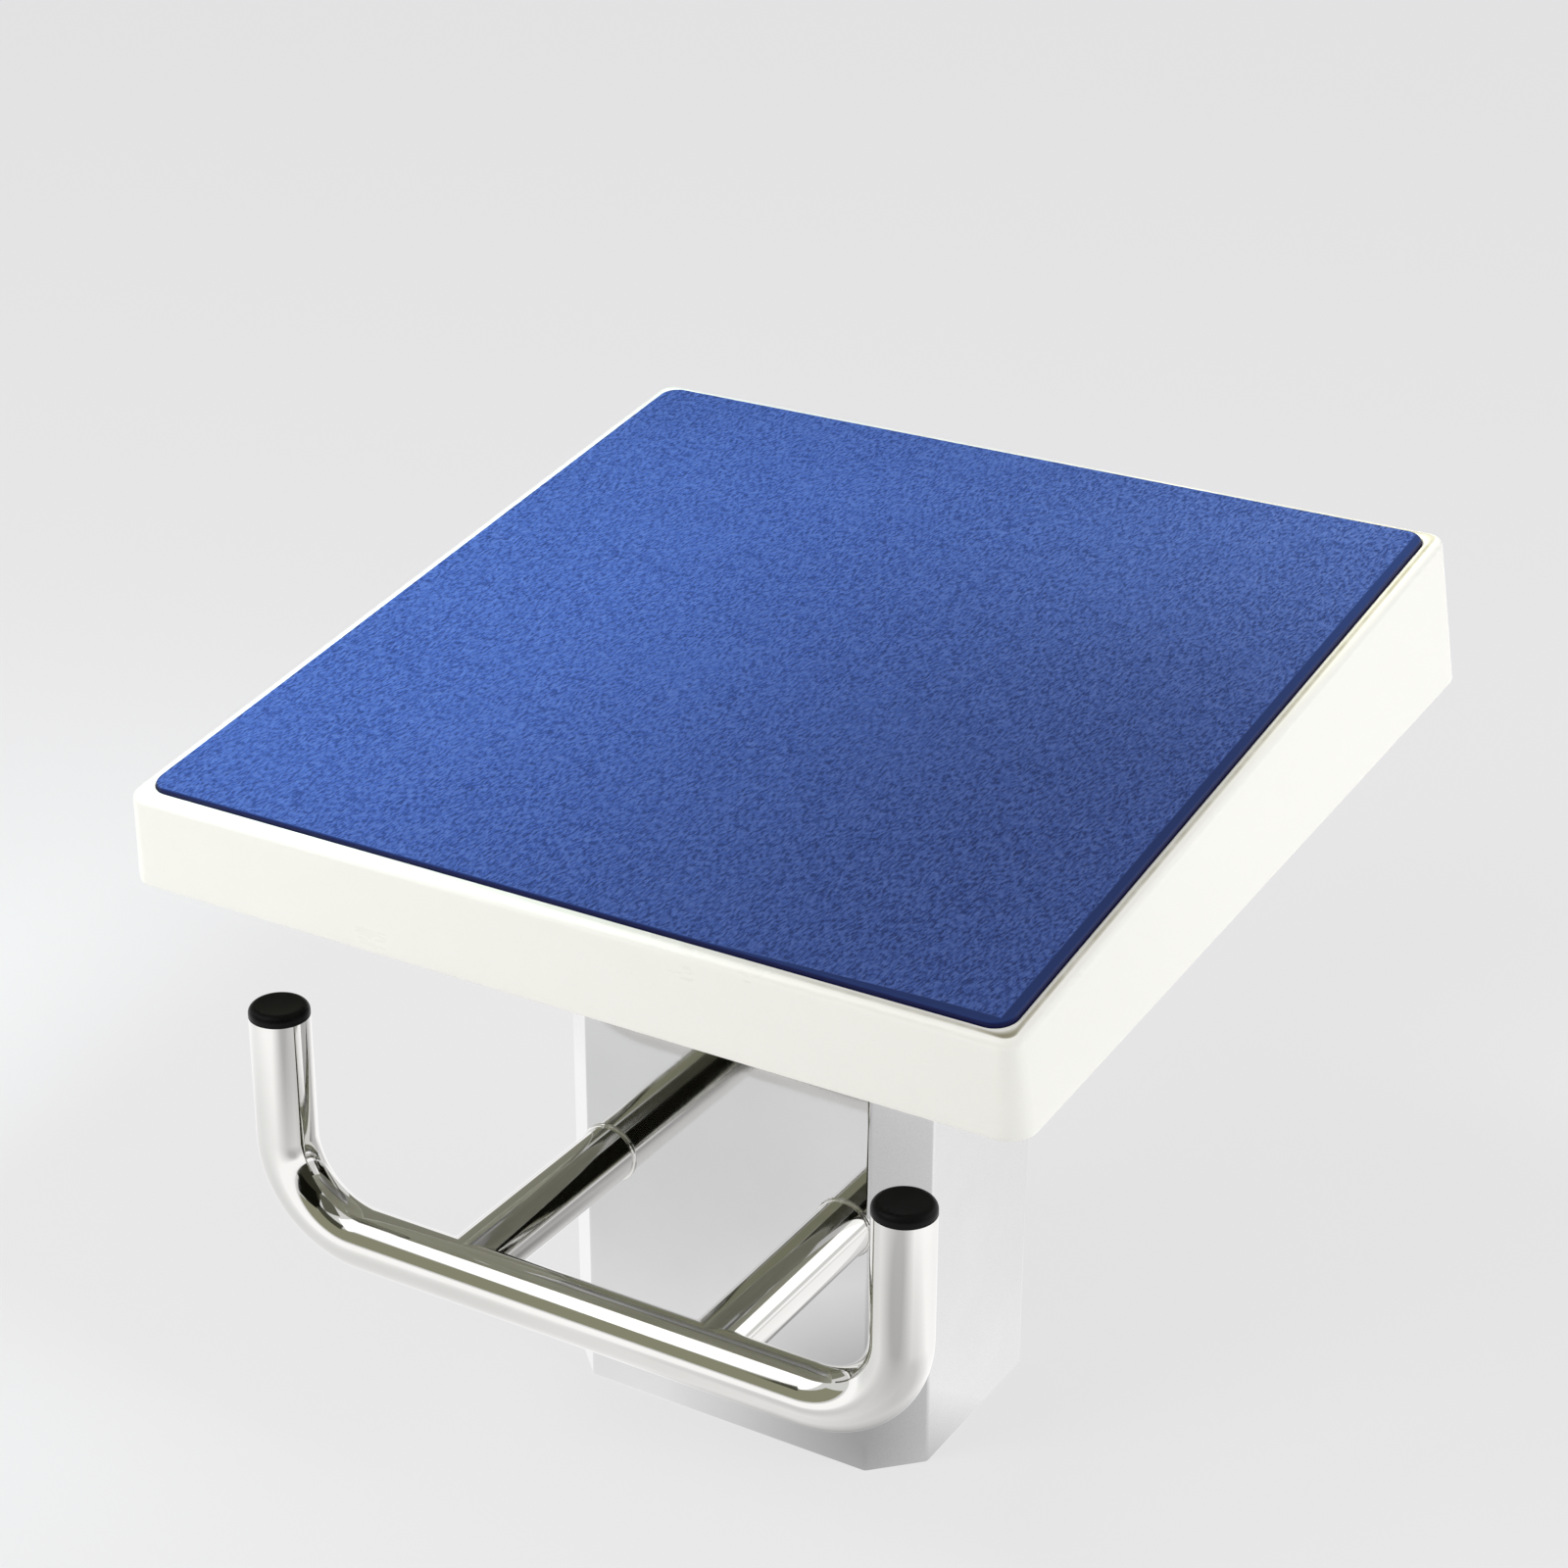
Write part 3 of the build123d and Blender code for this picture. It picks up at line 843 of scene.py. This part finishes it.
def fastener_steel():
    """Stainless fasteners: bright, with fine turning marks and a little grime."""
    f = Finish("fastener_steel", 1.0)
    marks = f.noise(900.0, 3.0)
    grime_and_painted_shade = f.span(f.noise(160.0, 4.0, 0.7), 0.5, 0.75)
    colour = f.mix(grime_and_painted_shade, (0.66, 0.655, 0.64), (0.38, 0.36, 0.33))
    roughness = f.math("ADD", f.span(marks, 0.3, 0.7, 0.18, 0.3), f.math("MULTIPLY", grime_and_painted_shade, 0.2))
    return f.done(colour, roughness, f.bump(marks, 0.00005, 0.3))


def cap_plastic():
    """Black moulded plastic with a fine spark-eroded grain."""
    f = Finish("black_cap_plastic")
    f.shader.inputs["Specular IOR Level"].default_value = 0.08
    grain = f.noise(2200.0, 3.0)
    clouds = f.noise(60.0, 4.0)
    colour = f.mix(clouds, (0.003, 0.003, 0.0033), (0.007, 0.007, 0.0073))
    roughness = f.span(clouds, 0.3, 0.7, 0.26, 0.4)
    return f.done(colour, roughness, f.bump(grain, 0.0001, 0.4))


def gasket_rubber():
    """Black sheet rubber, dusty."""
    f = Finish("gasket_rubber")
    dust = f.noise(120.0, 5.0, 0.7)
    colour = f.mix(dust, (0.018, 0.018, 0.018), (0.06, 0.058, 0.055))
    return f.done(colour, f.span(dust, 0.3, 0.7, 0.7, 0.85), f.bump(f.noise(1400.0), 0.0001, 0.4))


def laminate(name, light, dark):
    """Hand-laid glass laminate: crossed strands under a rough resin face."""
    f = Finish(name)
    one_way = f.noise(120.0, 4.0, 0.7, f.scaled((1, 0.06, 1), (0, 0, 0.7)))
    other_way = f.noise(120.0, 4.0, 0.7, f.scaled((1, 0.06, 1), (0, 0, -0.8)))
    strands = f.math("MAXIMUM", one_way, other_way)
    pools = f.noise(18.0, 4.0)
    colour = f.mix(f.span(strands, 0.45, 0.7), dark, light)
    colour = f.mix(f.span(pools, 0.5, 0.8, 0.0, 0.3), colour, tuple(c * 0.85 for c in dark))
    roughness = f.span(pools, 0.3, 0.7, 0.35, 0.6)
    return f.done(colour, roughness, f.bump(strands, 0.0005, 0.5))


def dress(finishes):
    """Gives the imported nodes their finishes, by the record's slots."""
    for row in frame["record"]["subparts"]:
        for spot in frame["nodes"][row["node"]].material_slots:
            spot.material = finishes[row["material_slot"]]


def facing(place, aim):
    """Rotation of a lamp or panel at a place that looks at a point."""
    return (Vector(aim) - Vector(place)).to_track_quat("-Z", "Y").to_euler()


def area(name, place, aim, size, power, colour=(1, 1, 1), spread=180):
    """A rectangular lamp that looks at a point, with its beam's angle. Reflections don't show it."""
    lamp = bpy.data.lights.new(name, "AREA")
    lamp.shape = "RECTANGLE"
    lamp.size, lamp.size_y = size
    lamp.energy = power
    lamp.color = colour
    lamp.spread = math.radians(spread)
    body = bpy.data.objects.new(name, lamp)
    body.location = place
    body.rotation_euler = facing(place, aim)
    body.visible_glossy = False
    body.visible_camera = False
    bpy.context.scene.collection.objects.link(body)


def plain_material(name, colour, glow=None):
    """Matt stage material, or one that glows and takes no light."""
    material = bpy.data.materials.new(name)
    material.use_nodes = True
    tree = material.node_tree
    if glow is None:
        shader = tree.nodes["Principled BSDF"]
        shader.inputs["Base Color"].default_value = (*colour, 1)
        shader.inputs["Roughness"].default_value = 0.9
        shader.inputs["Specular IOR Level"].default_value = 0.1
        return material
    tree.nodes.clear()
    emission = tree.nodes.new("ShaderNodeEmission")
    emission.inputs["Color"].default_value = (*colour, 1)
    emission.inputs["Strength"].default_value = glow
    output = tree.nodes.new("ShaderNodeOutputMaterial")
    tree.links.new(emission.outputs["Emission"], output.inputs["Surface"])
    return material


def card(name, place, size, colour, glow=1.0):
    """A panel that faces the handle, and that only reflections see."""
    mesh = bpy.data.meshes.new(name)
    x, y = size[0] / 2, size[1] / 2
    mesh.from_pydata([(-x, -y, 0), (x, -y, 0), (x, y, 0), (-x, y, 0)], [], [(0, 1, 2, 3)])
    panel = bpy.data.objects.new(name, mesh)
    panel.location = place
    panel.rotation_euler = facing(place, (0.0, handle_y, handle_height))
    mesh.materials.append(plain_material(name + "_face", colour, glow))
    panel.visible_camera = False
    panel.visible_diffuse = False
    panel.visible_shadow = False
    panel.visible_transmission = False
    bpy.context.scene.collection.objects.link(panel)


def floor():
    """Pale floor, a wide disc that is seen only from above. The steel reflects it with soft shades."""
    reach = 14.0
    sides = 96
    camera_share = 0.78
    camera_level = 0.87
    glossy_share = 0.85
    patch_start, patch_full = 0.1, 0.75
    turns = [2 * math.pi * i / sides for i in range(sides)]
    points = [(reach * math.cos(a), reach * math.sin(a), 0) for a in turns]
    mesh = bpy.data.meshes.new("floor")
    mesh.from_pydata(points, [], [tuple(range(sides))])
    disc = bpy.data.objects.new("floor", mesh)
    material = plain_material("floor_paint", (0.82, 0.82, 0.82))
    tree = material.node_tree
    sight = tree.nodes.new("ShaderNodeLightPath").outputs
    below = tree.nodes.new("ShaderNodeNewGeometry").outputs["Backfacing"]

    def product(a, b):
        """Product of a socket and a socket or number."""
        node = tree.nodes.new("ShaderNodeMath")
        node.operation = "MULTIPLY"
        tree.links.new(a, node.inputs[0])
        if isinstance(b, float):
            node.inputs[1].default_value = b
        else:
            tree.links.new(b, node.inputs[1])
        return node.outputs["Value"]

    def blend(share, first, second):
        """Shader between two others."""
        node = tree.nodes.new("ShaderNodeMixShader")
        tree.links.new(share, node.inputs["Fac"])
        tree.links.new(first, node.inputs[1])
        tree.links.new(second, node.inputs[2])
        return node.outputs["Shader"]

    def glow(strength):
        """Even light of the floor, so that it stays pale far from the lamps."""
        node = tree.nodes.new("ShaderNodeEmission")
        node.inputs["Color"].default_value = (0.995, 0.99, 1.0, 1)
        if isinstance(strength, float):
            node.inputs["Strength"].default_value = strength
        else:
            tree.links.new(strength, node.inputs["Strength"])
        return node.outputs["Emission"]

    def shade(centre, reach, around, middle):
        """One soft patch of the floor: its level all around and in the middle."""
        place = tree.nodes.new("ShaderNodeTexCoord").outputs["Object"]
        fit = tree.nodes.new("ShaderNodeMapping")
        fit.vector_type = "TEXTURE"
        fit.inputs["Location"].default_value = (*centre, 0)
        fit.inputs["Scale"].default_value = (*reach, 1)
        tree.links.new(place, fit.inputs["Vector"])
        ball = tree.nodes.new("ShaderNodeTexGradient")
        ball.gradient_type = "SPHERICAL"
        tree.links.new(fit.outputs["Vector"], ball.inputs["Vector"])
        span = tree.nodes.new("ShaderNodeMapRange")
        tree.links.new(ball.outputs["Fac"], span.inputs["Value"])
        span.inputs["From Min"].default_value = patch_start
        span.inputs["From Max"].default_value = patch_full
        span.inputs["To Min"].default_value = around
        span.inputs["To Max"].default_value = middle
        return span.outputs["Result"]

    clear = tree.nodes.new("ShaderNodeBsdfTransparent").outputs["BSDF"]
    paint = tree.nodes["Principled BSDF"].outputs["BSDF"]
    shown = blend(product(sight["Is Camera Ray"], camera_share), paint, glow(camera_level))
    level = shade(*floor_light)
    for patch_centre, patch_reach, middle in floor_shades:
        level = product(level, shade(patch_centre, patch_reach, 1.0, middle))
    shown = blend(product(sight["Is Glossy Ray"], glossy_share), shown, glow(level))
    shown = blend(product(sight["Is Camera Ray"], below), shown, clear)
    tree.links.new(shown, tree.nodes["Material Output"].inputs["Surface"])
    mesh.materials.append(material)
    bpy.context.scene.collection.objects.link(disc)


def world():
    """Even studio light. What the camera and reflections see of it is white."""
    sky = bpy.data.worlds.new("studio")
    bpy.context.scene.world = sky
    sky.use_nodes = True
    tree = sky.node_tree
    plain = tree.nodes["Background"]
    plain.inputs["Color"].default_value = (0.975, 0.965, 1.0, 1)
    plain.inputs["Strength"].default_value = 0.45
    white = tree.nodes.new("ShaderNodeBackground")
    white.inputs["Strength"].default_value = 1.0
    sight = tree.nodes.new("ShaderNodeLightPath")
    seen = sight.outputs["Is Camera Ray"]
    for ray in ("Is Glossy Ray", "Is Transmission Ray"):
        add = tree.nodes.new("ShaderNodeMath")
        add.operation = "ADD"
        add.use_clamp = True
        tree.links.new(seen, add.inputs[0])
        tree.links.new(sight.outputs[ray], add.inputs[1])
        seen = add.outputs["Value"]
    blend = tree.nodes.new("ShaderNodeMixShader")
    tree.links.new(seen, blend.inputs["Fac"])
    tree.links.new(plain.outputs["Background"], blend.inputs[1])
    tree.links.new(white.outputs["Background"], blend.inputs[2])
    tree.links.new(blend.outputs["Shader"], tree.nodes["World Output"].inputs["Surface"])


def camera():
    """The photograph's camera, from its place, direction and roll."""
    a, e, roll = (math.radians(v) for v in (camera_azimuth, camera_elevation, camera_roll))
    back = Vector((math.sin(a) * math.cos(e), -math.cos(a) * math.cos(e), math.sin(e)))
    right = Vector((0, 0, 1)).cross(back).normalized()
    up = back.cross(right)
    side = right * math.cos(roll) + up * math.sin(roll)
    top = up * math.cos(roll) - right * math.sin(roll)
    data = bpy.data.cameras.new("camera")
    data.sensor_width = camera_sensor
    data.lens = camera_lens
    data.clip_end = 100
    eye = bpy.data.objects.new("camera", data)
    eye.matrix_world = Matrix.Translation(camera_place) @ Matrix((side, top, back)).transposed().to_4x4()
    bpy.context.scene.collection.objects.link(eye)
    bpy.context.scene.camera = eye


camera()
world()
floor()

finishes = {
    "shell_gelcoat": gelcoat(),
    "mat_rubber": mat_rubber(),
    # The panel's olive tint is the resin's own; its darkness is painted shade of the platform's underside
    "panel_laminate": laminate("panel_laminate", (0.46, 0.46, 0.36), (0.36, 0.36, 0.27)),
    "rib_laminate": laminate("rib_laminate", (0.50, 0.50, 0.38), (0.40, 0.40, 0.28)),
    "plate_steel": plate_steel(),
    "fastener_steel": fastener_steel(),
    "gasket_rubber": gasket_rubber(),
    "column_steel": column_steel(),
    "polished_steel": polished_steel(),
    "cap_plastic": cap_plastic(),
}
dress(finishes)

platform_shell(finishes["shell_gelcoat"])
mat_piece(finishes["mat_rubber"])
column_piece(finishes["column_steel"])
handle_piece(finishes["polished_steel"])
arm_piece("arm_tube_left", "arm_left", -1, finishes["polished_steel"])
arm_piece("arm_tube_right", "arm_right", 1, finishes["polished_steel"])
cap_piece("cap_left", "end_cap_left", -1, finishes["cap_plastic"])
cap_piece("cap_right", "end_cap_right", 1, finishes["cap_plastic"])

area("right_lamp", (2.3, 0.1, 0.9), (0, 0, 0.3), (1.8, 1.2), 24.0)
area("front_lamp", (-1.5, -2.2, 2.1), (0, 0, 0.35), (1.4, 1.4), 54.0, (1.0, 0.985, 0.97))
# Two narrow beams, for the mat's left side and its back corner
mat_side = (-0.33, -0.06, 0.42)
mat_corner = (0.31, 0.33, 0.46)
area("mat_side_lamp", (0.45, -0.06, 1.25), mat_side, (0.75, 0.3), 1.7, (0.78, 1.0, 0.95), spread=38)
area("mat_corner_lamp", (-0.30, -0.05, 1.15), mat_corner, (0.25, 0.25), 0.6, (1.0, 1.0, 0.80), spread=38)

# What the polished steel reflects
card("front_softbox", (-2.0, -1.35, 3.3), (3.2, 2.0), (1.0, 1.0, 1.0), 1.7)
card("back_softbox", (1.9, 2.4, 1.35), (3.4, 1.5), (1.0, 1.0, 1.0), 1.5)
card("olive_wall", (-1.4, -2.9, 1.25), (5.2, 1.9), (0.31, 0.31, 0.22))
card("back_wall", (-2.1, 2.0, 1.9), (4.4, 3.4), (0.25, 0.25, 0.20))
card("right_wall", (2.6, -1.3, 1.5), (3.4, 3.0), (0.04, 0.04, 0.028))
card("ceiling", (0.9, -1.3, 3.0), (2.2, 1.6), (0.13, 0.13, 0.10))
card("dark_stand", (1.02, -1.84, 1.04), (1.55, 1.5), (0.006, 0.006, 0.004))
card("dark_blind", (-0.18, -1.75, 1.45), (1.2, 0.55), (0.07, 0.07, 0.05))

bpy.context.scene.view_settings.view_transform = "Standard"
